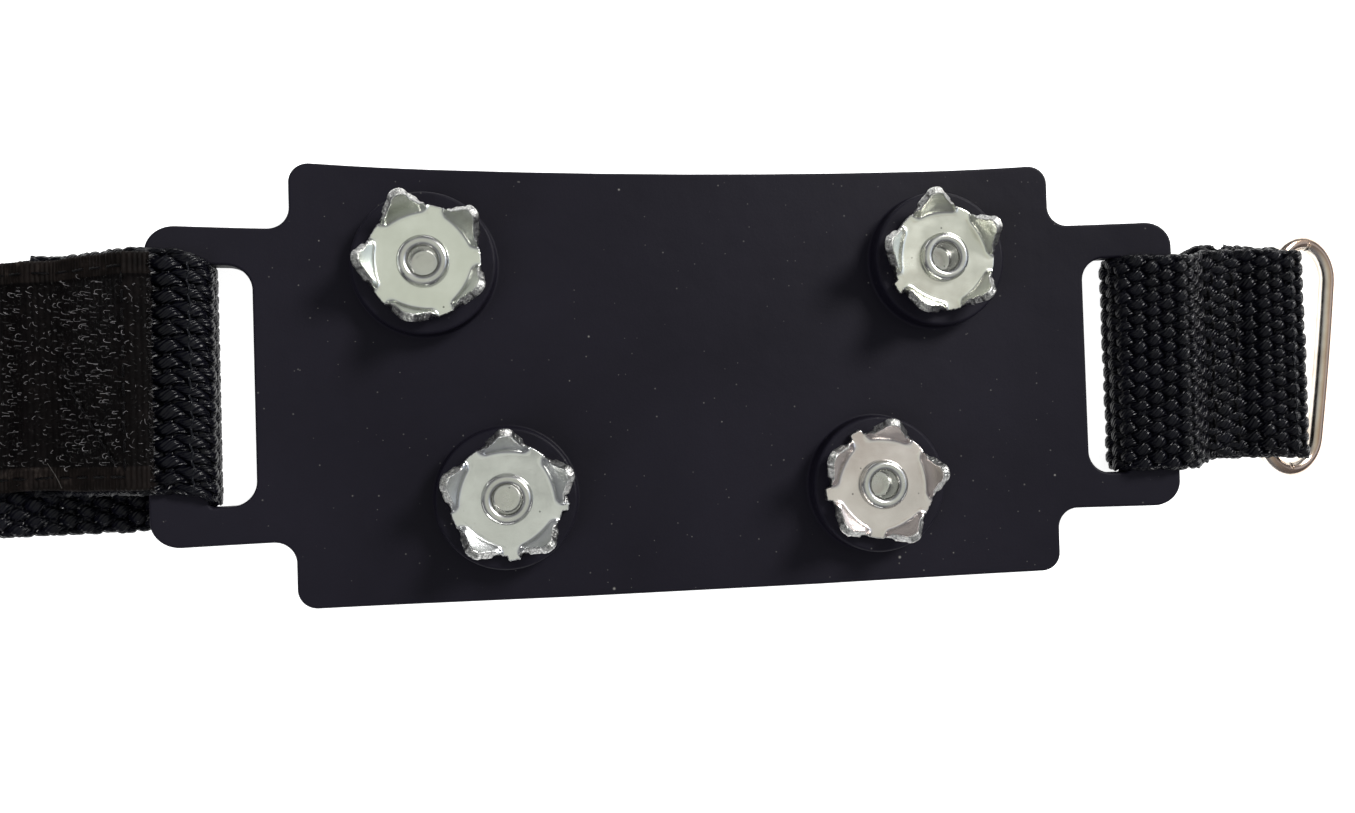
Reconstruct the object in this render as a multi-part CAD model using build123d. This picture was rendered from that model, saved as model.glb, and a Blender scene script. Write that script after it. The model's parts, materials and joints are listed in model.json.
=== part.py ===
from build123d import *
import os
from math import sqrt

# Strap-on ice cleat: a rubber plate with four toothed steel crowns, a webbing strap and a ring tab.
# Millimetres. The origin is the centre of the flat face that lies against the shoe sole (z = 0).
# +Z points at the ice, +X runs along the strap from its free end to the ring,
# and +Y is the side of the plate where the crowns stand wide apart.

# --- rubber plate ---
plate_thickness = 3.2
body_half_length = 52.55
body_half_width = 29.1
wide_side_waist = 1.2          # the +Y edge is pulled in at its middle
narrow_side_bulge = 0.4        # the -Y edge swells at its middle
body_corner_radius = 2.6
shoulder_radius = 2.8
ear_half_length = 69.5
ear_half_width = 20.3
ear_corner_radius = 3.5
slot_inner_x = 57.15
slot_outer_x = 62.6
slot_half_width = 15.4
slot_corner_radius = 3.1       # corners beside the body; those at the end bar are tight
bar_corner_radius = 0.4
flat_half_length = 34.0        # the plate is flat inside this, and its ends curl up outside it
end_rise = 4.6

# --- studs ---
wide_pair = (35.4, 15.45)      # half spacing along X, and Y
narrow_pair = (25.5, -15.7)
boss_radius = 9.4
boss_height = 3.0
boss_edge_radius = 0.5
fit_gap = 0.02                 # between clamped faces
counterbore_radius = 6.3
counterbore_depth = 2.2
washer_radius = 5.9
washer_thickness = 1.0
shank_radius = 2.5
hole_clearance = 0.05
rivet_head_radius = 4.5
rivet_head_height = 0.9
rivet_bore_radius = 1.85
rivet_bore_depth = 4.0
collar_radius = 3.2
collar_step = 0.4
bead_radius = 2.6
bead_height = 1.0

# --- crowns ---
sheet = 1.1
disc_radius = 7.3
tooth_count = 5
tooth_height = 4.7
tooth_base_width = 5.6
tooth_tip_width = 1.7
tooth_shoulder_height = 0.9
tooth_lean = 20.0              # degrees outward from upright
tooth_centre_radius = 6.65     # middle of the sheet where a tooth leaves the disc
crown_turn = {"wide_left": 40.0, "wide_right": 28.0, "narrow_left": 20.0, "narrow_right": 9.0}

# --- webbing ---
webbing_thickness = 1.5
webbing_width = 30.0
ground_gap = 0.1
bar_gap = 0.1
strap_offset_y = -3.0          # the strap leaves the plate a little to the narrow side
wrap_low_end = 66.5
wrap_top_end = 69.0
hinge_x = 71.0                 # where strap and tab bend beside the plate
low_leg_start = 73.0
top_leg_start = 74.0

# --- strap ---
instep_bend_x = 135.5
fold_x = 197.5
strap_end_x = 301.5
bend_clearance = 0.9
fold_clearance = 1.2
tail_touch_x = 80.5            # the tail lands on the strap here
tail_end_x = 84.0
strap_tip_radius = 5.0

# --- hook tape and loop tape ---
tape_width = 28.6
tape_thickness = 0.7
pile_height = 1.1
selvedge = 2.5
sew_gap = 0.05
hook_tape_end_x = 132.5
hook_tape_offset_y = -0.6
loop_tape_start_x = 201.0
loop_tape_end_x = 298.5

# --- ring and its tab ---
wire_radius = 1.1
ring_inner_width = 31.9
ring_depth = 10.4              # between the centres of the two long sides
ring_corner_radius = 4.5       # on the wire's centre line
ring_axis_x = 87.2
ring_axis_y = 1.5
ring_axis_z = 3.5
ring_yaw = 7.5                 # degrees: the ring lies askew in its tab
ring_droop = 12.0              # degrees: its free side hangs towards the ground
tab_width = 26.4
tab_offset_y = 1.3
tab_seam_start_x = 76.5
tab_seam_end_x = 82.3
tab_pocket_x = 83.9
tab_fold_x = 91.25
tab_pocket_half_height = 1.5

# --- thread ---
stitch_length = 2.4
stitch_pitch = 3.1
stitch_width = 0.5
stitch_height = 0.3

disc_bottom = plate_thickness + boss_height + fit_gap
disc_top = disc_bottom + sheet
leg_centre = ground_gap + webbing_thickness / 2
webbing_top = ground_gap + webbing_thickness
tape_top = webbing_top + sew_gap + tape_thickness
pile_top = tape_top + pile_height
half_webbing = webbing_thickness / 2
tail_centre = webbing_top + half_webbing - 0.05


def curl(x):
    """Height of the plate's shoe side at a distance x from the middle."""
    run = ear_half_length - flat_half_length
    radius = (run**2 + end_rise**2) / (2 * end_rise)
    outside = max(0.0, abs(x) - flat_half_length)
    return radius - sqrt(radius**2 - outside**2)


def ribbon(points, radii, thickness, low_y, high_y):
    """A strip of even thickness that follows a bent line in the XZ plane."""
    path = FilletPolyline(*points, radius=radii)
    section = Plane.XZ * trace(path, thickness)
    return Pos(0, high_y, 0) * extrude(section, amount=high_y - low_y)


def block(low_x, high_x, low_y, high_y, low_z, high_z):
    """A box between two corners."""
    size = Box(high_x - low_x, high_y - low_y, high_z - low_z)
    return Pos((low_x + high_x) / 2, (low_y + high_y) / 2, (low_z + high_z) / 2) * size


def round_corners(outline, radius, wanted):
    """Round the corners of an outline that the test picks."""
    return fillet([v for v in outline.vertices() if wanted(v)], radius)


def plate_outline():
    wide_left = (-body_half_length, body_half_width)
    wide_right = (body_half_length, body_half_width)
    narrow_right = (body_half_length, -body_half_width)
    narrow_left = (-body_half_length, -body_half_width)
    wide_edge = ThreePointArc(wide_left, (0, body_half_width - wide_side_waist), wide_right)
    narrow_edge = ThreePointArc(narrow_right, (0, -body_half_width - narrow_side_bulge), narrow_left)
    right_ear = Polyline(
        wide_right,
        (body_half_length, ear_half_width),
        (ear_half_length, ear_half_width),
        (ear_half_length, -ear_half_width),
        (body_half_length, -ear_half_width),
        narrow_right,
    )
    left_ear = mirror(right_ear, about=Plane.YZ)
    outline = make_face([wide_edge, right_ear, narrow_edge, left_ear])
    near_ear = ear_half_width + 1
    outline = round_corners(outline, ear_corner_radius, lambda v: abs(v.X) > body_half_length + 1)
    outline = round_corners(outline, body_corner_radius, lambda v: abs(v.Y) > near_ear)
    return round_corners(
        outline,
        shoulder_radius,
        lambda v: abs(abs(v.Y) - ear_half_width) < 0.01 and abs(abs(v.X) - body_half_length) < 0.01,
    )


def plate_profile():
    """Side view of the plate: flat in the middle, with both ends curling up."""
    middle_x = (flat_half_length + ear_half_length) / 2

    def edge(height):
        flat = Line((-flat_half_length, height), (flat_half_length, height))
        right = ThreePointArc(
            (flat_half_length, height),
            (middle_x, height + curl(middle_x)),
            (ear_half_length, height + end_rise),
        )
        left = mirror(right, about=Plane.YZ)
        return [flat, right, left]

    def end(side):
        x = side * ear_half_length
        return Line((x, end_rise), (x, end_rise + plate_thickness))

    return make_face(edge(0) + edge(plate_thickness) + [end(-1), end(1)])


def stud_places():
    """Name and place of each stud."""
    return {
        "wide_left": (-wide_pair[0], wide_pair[1]),
        "wide_right": wide_pair,
        "narrow_left": (-narrow_pair[0], narrow_pair[1]),
        "narrow_right": narrow_pair,
    }


def slot_outline():
    """Strap slot at the +X end."""
    centre_x = (slot_inner_x + slot_outer_x) / 2
    outline = Pos(centre_x, 0) * Rectangle(slot_outer_x - slot_inner_x, 2 * slot_half_width)
    outline = round_corners(outline, slot_corner_radius, lambda v: v.X < centre_x)
    return round_corners(outline, bar_corner_radius, lambda v: v.X > slot_outer_x - 0.01)


def rubber_plate():
    tall = end_rise + plate_thickness + 2
    outline = Pos(0, 0, -1) * extrude(plate_outline(), amount=tall)
    profile = Pos(0, body_half_width + 2, 0) * extrude(
        Plane.XZ * plate_profile(), amount=2 * body_half_width + 4
    )
    plate = outline & profile
    right_slot = Pos(0, 0, -1) * extrude(slot_outline(), amount=tall)
    plate -= right_slot
    plate -= mirror(right_slot, about=Plane.YZ)
    for x, y in stud_places().values():
        boss_base = plate_thickness / 2
        boss = Cylinder(boss_radius, boss_height + boss_base, align=(Align.CENTER, Align.CENTER, Align.MIN))
        boss = fillet(boss.edges().group_by(Axis.Z)[-1], boss_edge_radius)
        plate += Pos(x, y, plate_thickness - boss_base) * boss
    for x, y in stud_places().values():
        counterbore = Cylinder(counterbore_radius, 2 * counterbore_depth)
        plate -= Pos(x, y, 0) * counterbore
        plate -= Pos(x, y, 0) * Cylinder(shank_radius + hole_clearance, 4 * disc_top)
    return plate


def crown(turn):
    """Stamped disc with its teeth bent up towards the ice."""
    low = (Align.CENTER, Align.CENTER, Align.MIN)
    disc = Cylinder(disc_radius, sheet, align=low)
    half_base = tooth_base_width / 2
    half_tip = tooth_tip_width / 2
    outline = make_face(
        Polyline(
            (-half_base, -sheet),
            (half_base, -sheet),
            (half_base, tooth_shoulder_height),
            (half_tip, tooth_height),
            (-half_tip, tooth_height),
            (-half_base, tooth_shoulder_height),
            close=True,
        )
    )
    outline = round_corners(outline, half_tip * 0.8, lambda v: v.Y > tooth_height - 0.01)
    tooth = extrude(outline, amount=sheet / 2, both=True)
    upright = Rot(0, 0, 90) * Rot(90, 0, 0)
    for number in range(tooth_count):
        angle = turn + number * 360 / tooth_count
        stand = Rot(0, 0, angle) * Pos(tooth_centre_radius, 0, sheet) * Rot(0, tooth_lean, 0)
        disc += stand * upright * tooth
    disc &= Cylinder(3 * disc_radius, 4 * tooth_height, align=low)
    disc -= Cylinder(shank_radius + hole_clearance, 4 * sheet)
    return disc


def rivet():
    """Semi-tubular rivet: head on the shoe side, rolled collar on the crown."""
    head_low = counterbore_depth - 2 * fit_gap - washer_thickness - rivet_head_height - fit_gap
    head_top = head_low + rivet_head_height
    collar_low = disc_top + fit_gap
    step_top = collar_low + collar_step
    bead_top = collar_low + bead_height
    bore_low = bead_top - rivet_bore_depth
    profile = Polyline(
        (0, head_low),
        (rivet_head_radius - 0.4, head_low),
        (rivet_head_radius, head_low + 0.4),
        (rivet_head_radius, head_top),
        (shank_radius, head_top),
        (shank_radius, collar_low),
        (collar_radius, collar_low),
        (collar_radius, step_top - 0.1),
        (collar_radius - 0.1, step_top),
        (bead_radius, step_top),
        (bead_radius, bead_top - 0.25),
        (bead_radius - 0.25, bead_top),
        (rivet_bore_radius + 0.2, bead_top),
        (rivet_bore_radius, bead_top - 0.2),
        (rivet_bore_radius, bore_low),
        (0, bore_low),
        close=True,
    )
    return revolve(make_face(Plane.XZ * profile), axis=Axis.Z, revolution_arc=360)


def backing_washer():
    low_z = counterbore_depth - fit_gap - washer_thickness
    washer = Cylinder(washer_radius, washer_thickness, align=(Align.CENTER, Align.CENTER, Align.MIN))
    washer -= Cylinder(shank_radius + hole_clearance, 4 * washer_thickness)
    return Pos(0, 0, low_z) * washer


def bar_wrap(side):
    """Webbing folded round the end bar of the plate, through its slot."""
    fold_centre = slot_outer_x - bar_gap - half_webbing
    over_bar = plate_thickness + bar_gap + half_webbing
    points = [
        (side * wrap_low_end, leg_centre),
        (side * fold_centre, leg_centre),
        (side * fold_centre, curl(slot_outer_x) + over_bar),
        (side * wrap_top_end, curl(wrap_top_end) + over_bar),
    ]
    return ribbon(points, (1.5, half_webbing + 0.2), webbing_thickness, -webbing_width / 2, webbing_width / 2)


def tail_slope():
    """Start of the tail's centre line beside the plate, on its way down to the strap."""
    top_z = end_rise + plate_thickness + bar_gap + half_webbing
    fall = (top_z - tail_centre) / (tail_touch_x - ear_half_length)
    return top_z - fall * (top_leg_start - ear_half_length)


def strap_base():
    """First length of strap, with the tail that comes back over the bar sewn down on it."""
    low_y = strap_offset_y - webbing_width / 2
    strap = block(-instep_bend_x + bend_clearance, -low_leg_start, low_y, low_y + webbing_width,
                  ground_gap, webbing_top)
    points = [
        (-top_leg_start, tail_slope()),
        (-tail_touch_x, tail_centre),
        (-tail_end_x, tail_centre),
    ]
    tail = ribbon(points, (1.0,), webbing_thickness, -webbing_width / 2 + 0.5, webbing_width / 2)
    return strap + tail


def strap_middle():
    low_y = strap_offset_y - webbing_width / 2
    return block(-fold_x + fold_clearance, -instep_bend_x - bend_clearance, low_y, low_y + webbing_width,
                 ground_gap, webbing_top)


def strap_tip():
    low_y = strap_offset_y - webbing_width / 2
    tip = block(-strap_end_x, -fold_x - fold_clearance, low_y, low_y + webbing_width,
                ground_gap, webbing_top)
    corners = tip.edges().filter_by(Axis.Z).group_by(Axis.X)[0]
    return fillet(corners, strap_tip_radius)


def hook_tape():
    """Tape that starts over the tail, steps down past its end and runs on along the strap."""
    low_y = hook_tape_offset_y - tape_width / 2
    lift = half_webbing + sew_gap + tape_thickness / 2
    flat_z = tape_top - tape_thickness / 2
    points = [
        (-top_leg_start - 0.6, tail_slope() + lift),
        (-tail_touch_x - 0.3, tail_centre + lift + 0.1),
        (-tail_end_x - 0.6, tail_centre + lift + 0.1),
        (-tail_end_x - 2.6, flat_z),
        (-hook_tape_end_x, flat_z),
    ]
    tape = ribbon(points, (1.0, 0.5, 0.5), tape_thickness, low_y, low_y + tape_width)
    hooks = block(-hook_tape_end_x + 1, -tail_end_x - 3.5, low_y + selvedge, low_y + tape_width - selvedge,
                  tape_top - 0.1, pile_top)
    return tape + hooks


def loop_tape():
    low_y = strap_offset_y - tape_width / 2
    high_y = low_y + tape_width
    tape = block(-loop_tape_end_x, -loop_tape_start_x, low_y, high_y,
                 webbing_top + sew_gap, tape_top)
    pile = block(-loop_tape_end_x + 1, -loop_tape_start_x - 1, low_y + selvedge, high_y - selvedge,
                 tape_top - 0.1, pile_top)
    return tape + pile


def stitch_row(start_x, end_x, y, base_z):
    """Straight row of lockstitches lying on a surface at height base_z."""
    count = int((end_x - start_x) / stitch_pitch)
    stitch = Box(stitch_length, stitch_width, stitch_height)
    centre_z = base_z + fit_gap + stitch_height / 2
    return [Pos(start_x + (n + 0.5) * stitch_pitch, y, centre_z) * stitch for n in range(count)]


def tape_stitching(start_x, end_x, centre_y):
    """Two rows, one along each selvedge."""
    reach = tape_width / 2 - selvedge / 2
    rows = stitch_row(start_x, end_x, centre_y - reach, tape_top)
    rows += stitch_row(start_x, end_x, centre_y + reach, tape_top)
    return Compound(children=rows)


def tab_stitching():
    """Cross rows that close the tab between the bar and the ring."""
    top = ring_axis_z + 2 * half_webbing + sew_gap / 2
    bottom = ring_axis_z - 2 * half_webbing - sew_gap / 2 - stitch_height - 2 * fit_gap
    stitch = Box(stitch_width, stitch_length, stitch_height)
    count = int(tab_width / stitch_pitch)
    rows = []
    for x in (tab_seam_start_x + 1, tab_seam_end_x - 1):
        for n in range(count):
            y = tab_offset_y + (n - (count - 1) / 2) * stitch_pitch
            for base_z in (top, bottom):
                rows.append(Pos(x, y, base_z + fit_gap + stitch_height / 2) * stitch)
    return Compound(children=rows)


def ring_tab():
    """Webbing loop from the bar to the ring, sewn flat in the middle."""
    seam_low = ring_axis_z - half_webbing - sew_gap / 2
    seam_high = ring_axis_z + half_webbing + sew_gap / 2
    pocket_low = ring_axis_z - tab_pocket_half_height - half_webbing
    pocket_high = ring_axis_z + tab_pocket_half_height + half_webbing
    points = [
        (low_leg_start, leg_centre + 0.5),
        (tab_seam_start_x, seam_low),
        (tab_seam_end_x, seam_low),
        (tab_pocket_x, pocket_low),
        (tab_fold_x, pocket_low),
        (tab_fold_x, pocket_high),
        (tab_pocket_x, pocket_high),
        (tab_seam_end_x, seam_high),
        (tab_seam_start_x, seam_high),
        (top_leg_start, seam_high + 1.8),
    ]
    radii = (0.8, 0.8, 0.8, 1.0, 1.0, 0.8, 0.8, 0.8)
    low_y = tab_offset_y - tab_width / 2
    return ribbon(points, radii, webbing_thickness, low_y, low_y + tab_width)


def ring():
    """Rectangular ring of round wire. One long side is its axle in the tab."""
    half_width = ring_inner_width / 2 + wire_radius
    outline = RectangleRounded(ring_depth, 2 * half_width, ring_corner_radius).wire()
    start = outline @ 0
    section = Plane(origin=start, z_dir=outline % 0) * Circle(wire_radius)
    wire = sweep(section, path=outline)
    hung = Rot(0, 0, -ring_yaw) * Rot(0, ring_droop, 0) * Pos(ring_depth / 2, 0, 0) * wire
    return Pos(ring_axis_x, ring_axis_y, ring_axis_z) * hung


nodes = {"rubber_plate": rubber_plate()}
for name, (stud_x, stud_y) in stud_places().items():
    nodes[name + "_crown"] = Pos(stud_x, stud_y, disc_bottom) * crown(crown_turn[name])
    nodes[name + "_rivet"] = Pos(stud_x, stud_y, 0) * rivet()
    nodes[name + "_backing_washer"] = Pos(stud_x, stud_y, 0) * backing_washer()
nodes["strap_bar_wrap"] = bar_wrap(-1)
nodes["tab_bar_wrap"] = bar_wrap(1)
nodes["strap_base_webbing"] = strap_base()
nodes["strap_middle_webbing"] = strap_middle()
nodes["strap_tip_webbing"] = strap_tip()
nodes["hook_tape"] = hook_tape()
nodes["loop_tape"] = loop_tape()
nodes["hook_tape_stitching"] = tape_stitching(-hook_tape_end_x + 1, -tail_end_x - 3.5, hook_tape_offset_y)
nodes["loop_tape_stitching"] = tape_stitching(-loop_tape_end_x + 1, -loop_tape_start_x - 1, strap_offset_y)
nodes["ring_tab_webbing"] = ring_tab()
nodes["ring_tab_stitching"] = tab_stitching()
nodes["strap_ring"] = ring()

os.makedirs("parts", exist_ok=True)
for node, shape in nodes.items():
    export_step(shape, f"parts/{node}.step")
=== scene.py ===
import json
import math
from functools import partial

import bmesh
import bpy
import numpy as np
from mathutils import Euler, Matrix, Vector


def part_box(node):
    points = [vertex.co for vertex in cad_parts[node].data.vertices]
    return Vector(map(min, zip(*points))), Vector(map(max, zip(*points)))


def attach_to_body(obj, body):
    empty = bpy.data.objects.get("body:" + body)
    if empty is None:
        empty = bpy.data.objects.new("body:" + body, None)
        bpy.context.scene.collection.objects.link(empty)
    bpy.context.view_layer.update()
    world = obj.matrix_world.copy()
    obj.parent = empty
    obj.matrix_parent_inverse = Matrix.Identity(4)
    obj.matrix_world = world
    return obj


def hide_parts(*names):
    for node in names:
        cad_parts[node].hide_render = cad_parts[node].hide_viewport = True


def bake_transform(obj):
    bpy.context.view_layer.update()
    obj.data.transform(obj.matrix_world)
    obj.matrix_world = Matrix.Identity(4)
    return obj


# Strap-on ice cleat, seen from its studded side. Sizes are millimetres, turned into metres in make_mesh.
# The plate's shoe side is at z = 0, +Z points at the ice, and +X from the strap's free end to the ring.
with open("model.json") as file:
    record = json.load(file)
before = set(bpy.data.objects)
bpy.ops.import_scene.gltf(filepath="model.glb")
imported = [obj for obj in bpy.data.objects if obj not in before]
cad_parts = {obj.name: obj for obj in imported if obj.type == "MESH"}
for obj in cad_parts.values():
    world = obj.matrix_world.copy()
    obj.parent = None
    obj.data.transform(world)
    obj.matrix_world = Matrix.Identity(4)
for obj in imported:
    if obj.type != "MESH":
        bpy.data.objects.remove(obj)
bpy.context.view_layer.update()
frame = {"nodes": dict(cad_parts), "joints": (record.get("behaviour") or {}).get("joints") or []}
MM = 0.001


def box_mm(node):
    low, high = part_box(node)
    return np.array(low) / MM, np.array(high) / MM


joints = {joint["name"]: joint for joint in frame["joints"]}
strap_low, strap_high = box_mm("strap_middle_webbing")

# --- plate ---
EAR_HALF_LENGTH = box_mm("rubber_plate")[1][0]
PLATE_THICKNESS = 3.2
END_RISE = 4.6                 # both ends of the plate curl up by this
FLAT_HALF_LENGTH = 34.0        # outside this distance from the middle
SLOT_OUTER_X = 62.6
EDGE_ROUNDING = 0.4

# --- webbing ---
WARP_ENDS = 29                 # lengthwise yarns side by side
WARP_PITCH = 1.03
RIB_PITCH = 2.07               # between crosswise yarns
WARP_LIFT = 0.42               # of a lengthwise yarn over a crosswise one
WARP_HALF_THICKNESS = 0.30
FLOAT_FLATNESS = 1.2
WARP_NARROW = 0.50             # half width where the yarn dives
WARP_WIDE = 0.94               # half width on top of a rib
WEFT_HALF_LENGTH = 0.62
WEFT_HALF_THICKNESS = 0.30
SELVEDGE_BULGE = 0.32
HALF_STRIP = WARP_ENDS * WARP_PITCH / 2
STEPS_PER_RIB = 9
YARN_SIDES = 6
HALF_WEBBING = 0.75
LEG_Z = (strap_low[2] + strap_high[2]) / 2
STRAP_Y = (strap_low[1] + strap_high[1]) / 2
STRAP_END_X = box_mm("strap_tip_webbing")[0][0]

# --- tapes ---
TAPE_WIDTH = 29.2
TAPE_THICKNESS = 0.7
TAPE_TOP = TAPE_THICKNESS / 2  # above the tape's own middle
SELVEDGE = 3.0
SELVEDGE_RIB = 0.56
KNOB_PITCH = 0.75
HOOK_TAPE_END_X = box_mm("hook_tape")[0][0]
LOOP_TAPE_START_X = box_mm("loop_tape")[1][0]
LOOP_TAPE_END_X = box_mm("loop_tape")[0][0]

# --- ring ---
WIRE_RADIUS = 1.1
RING_DEPTH = 10.4
RING_HALF_WIDTH = 17.05
RING_CORNER = 5.2
RING_YAW = 7.5                 # degrees
RING_DROOP = 12.0              # degrees


# ---------------------------------------------------------------- mesh helpers

def make_mesh(name, verts, quads, material, uvs=None):
    """Object from vertices in millimetres and quads. uvs holds one pair per corner."""
    mesh = bpy.data.meshes.new(name)
    verts = np.asarray(verts, float).reshape(-1, 3)
    quads = np.asarray(quads, np.int32).reshape(-1, 4)
    mesh.vertices.add(len(verts))
    mesh.vertices.foreach_set("co", (verts * MM).astype(np.float32).ravel())
    mesh.loops.add(quads.size)
    mesh.loops.foreach_set("vertex_index", quads.ravel())
    mesh.polygons.add(len(quads))
    mesh.polygons.foreach_set("loop_start", np.arange(0, quads.size, 4, dtype=np.int32))
    mesh.polygons.foreach_set("use_smooth", np.ones(len(quads), bool))
    if uvs is not None:
        layer = mesh.uv_layers.new(name="yarn")
        layer.data.foreach_set("uv", np.asarray(uvs, np.float32).ravel())
    mesh.update(calc_edges=True)
    mesh.validate()
    mesh.materials.append(material)
    obj = bpy.data.objects.new(name, mesh)
    bpy.context.scene.collection.objects.link(obj)
    return obj


def sheet_quads(rows, around, close_rows=False):
    """Quads between neighbouring rows of points, where each row closes on itself."""
    i, j = np.meshgrid(np.arange(rows if close_rows else rows - 1), np.arange(around), indexing="ij")
    after = (i + 1) % rows
    beside = (j + 1) % around
    corners = [i * around + j, after * around + j, after * around + beside, i * around + beside]
    return np.stack(corners, -1).reshape(-1, 4)


def tubes(paths, sides_dir, ups_dir, half_side, half_up, sides=YARN_SIDES, closed=False, along=None):
    """Elliptical tubes. Paths and directions are (tubes, points, 3), the half sizes (tubes, points)."""
    count, length = paths.shape[:2]
    angles = np.arange(sides) * 2 * math.pi / sides
    ring = (
        paths[:, :, None, :]
        + sides_dir[:, :, None, :] * (half_side[:, :, None] * np.cos(angles))[..., None]
        + ups_dir[:, :, None, :] * (half_up[:, :, None] * np.sin(angles))[..., None]
    )
    verts = ring.reshape(-1, 3)
    spans = length if closed else length - 1
    tube, step, side = np.meshgrid(np.arange(count), np.arange(spans), np.arange(sides), indexing="ij")
    after = (step + 1) % length
    beside = (side + 1) % sides

    def index(a, b):
        return (tube * length + a) * sides + b

    corners = [index(step, side), index(after, side), index(after, beside), index(step, beside)]
    quads = np.stack(corners, -1).reshape(-1, 4)
    if along is None:
        gaps = np.linalg.norm(np.diff(paths, axis=1), axis=2)
        along = np.concatenate([np.zeros((count, 1)), np.cumsum(gaps, axis=1)], axis=1)
    reach = along[tube, np.minimum(step + 1, length - 1)]
    start = along[tube, step]
    low = side / sides
    high = (side + 1) / sides
    uvs = np.stack([
        np.stack([start, low], -1), np.stack([reach, low], -1),
        np.stack([reach, high], -1), np.stack([start, high], -1),
    ], -2).reshape(-1, 4, 2)
    if closed:
        return verts, quads, uvs
    caps = cap_quads(sides)
    tube_starts = (np.arange(count) * length * sides)[:, None, None]
    first = tube_starts + caps[None]
    last = tube_starts + (length - 1) * sides + caps[None, :, ::-1]
    ends = np.concatenate([first.reshape(-1, 4), last.reshape(-1, 4)])
    return verts, np.concatenate([quads, ends]), np.concatenate([uvs, np.zeros((len(ends), 4, 2))])


def cap_quads(sides):
    """Quads that close a ring of an even number of points."""
    return np.array([[k, k + 1, sides - k - 2, sides - k - 1] for k in range(sides // 2 - 1)])[:, ::-1]


def join_parts(parts):
    """Several (verts, quads, uvs) as one."""
    verts, quads, uvs = [], [], []
    base = 0
    for part_verts, part_quads, part_uvs in parts:
        verts.append(part_verts)
        quads.append(part_quads + base)
        uvs.append(part_uvs)
        base += len(part_verts)
    return np.concatenate(verts), np.concatenate(quads), np.concatenate(uvs)


def round_tubes(paths, radius, sides=YARN_SIDES):
    """Round tubes along free paths, with frames worked out from each path."""
    tangent = np.gradient(paths, axis=1)
    tangent /= np.linalg.norm(tangent, axis=2, keepdims=True) + 1e-9
    helper = np.array([0.0, 0.0, 1.0]) + 0 * tangent
    steep = (np.abs(tangent[..., 2]) > 0.9).mean(axis=1) > 0.5
    helper[steep] = np.array([1.0, 0.0, 0.0])
    side = np.cross(tangent, helper)
    side /= np.linalg.norm(side, axis=2, keepdims=True) + 1e-9
    up = np.cross(side, tangent)
    size = radius + np.zeros(paths.shape[:2])
    return tubes(paths, side, up, size, size, sides)


def curl(x):
    """Height of the plate's shoe side at a distance x from the middle."""
    run = EAR_HALF_LENGTH - FLAT_HALF_LENGTH
    radius = (run**2 + END_RISE**2) / (2 * END_RISE)
    outside = max(0.0, abs(x) - FLAT_HALF_LENGTH)
    return radius - math.sqrt(max(0.0, radius**2 - outside**2))


def rounded_path(points, radii, step=0.1):
    """Polyline in XZ with its corners rounded, sampled about every step."""
    points = [np.array(p, float) for p in points]
    out = [points[0]]
    for before, corner, after, radius in zip(points, points[1:], points[2:], radii):
        back = (before - corner) / np.linalg.norm(before - corner)
        ahead = (after - corner) / np.linalg.norm(after - corner)
        half_angle = math.acos(np.clip(np.dot(back, ahead), -1, 1)) / 2
        room = 0.49 * min(np.linalg.norm(before - corner), np.linalg.norm(after - corner))
        reach = min(radius / math.tan(half_angle), room)
        start, stop = corner + back * reach, corner + ahead * reach
        for t in np.linspace(0, 1, 9):
            out.append((1 - t) ** 2 * start + 2 * t * (1 - t) * corner + t**2 * stop)
    out.append(points[-1])
    out = np.array(out)
    gaps = np.linalg.norm(np.diff(out, axis=0), axis=1)
    keep = np.concatenate([[True], gaps > 1e-6])
    out = out[keep]
    reach = np.concatenate([[0], np.cumsum(np.linalg.norm(np.diff(out, axis=0), axis=1))])
    count = max(8, int(reach[-1] / step))
    even = np.linspace(0, reach[-1], count)
    return np.stack([np.interp(even, reach, out[:, 0]), np.interp(even, reach, out[:, 1])], 1)


def smooth(path, passes):
    """Relax a sampled path so that a strip laid on it bends evenly."""
    path = path.copy()
    for _ in range(passes):
        path[1:-1] = (path[:-2] + 2 * path[1:-1] + path[2:]) / 4
    return path


class Track:
    """Centre line of a strip: a path in XZ with a sideways offset that may change along it."""

    def __init__(self, path, sideways, face=1, crowding=1.0):
        self.path = path
        self.face = face
        gaps = np.linalg.norm(np.diff(path, axis=0), axis=1) * crowding
        self.reach = np.concatenate([[0], np.cumsum(gaps)])
        self.length = self.reach[-1]
        self.sideways = sideways
        tangent = np.gradient(path, axis=0)
        self.tangent = tangent / np.linalg.norm(tangent, axis=1, keepdims=True)

    def at(self, s):
        """Centre, normal and tangent at distances s along the track."""
        x = np.interp(s, self.reach, self.path[:, 0])
        z = np.interp(s, self.reach, self.path[:, 1])
        tx = np.interp(s, self.reach, self.tangent[:, 0])
        tz = np.interp(s, self.reach, self.tangent[:, 1])
        zero = 0 * x
        centre = np.stack([x, self.sideways(s, x, z), z], -1)
        normal = np.stack([-tz, zero, tx], -1) * self.face
        tangent = np.stack([tx, zero, tz], -1)
        return centre, normal, tangent


def ease(t):
    """Smooth step from 0 to 1."""
    t = np.clip(t, 0, 1)
    return t * t * (3 - 2 * t)


# ---------------------------------------------------------------- woven webbing

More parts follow.
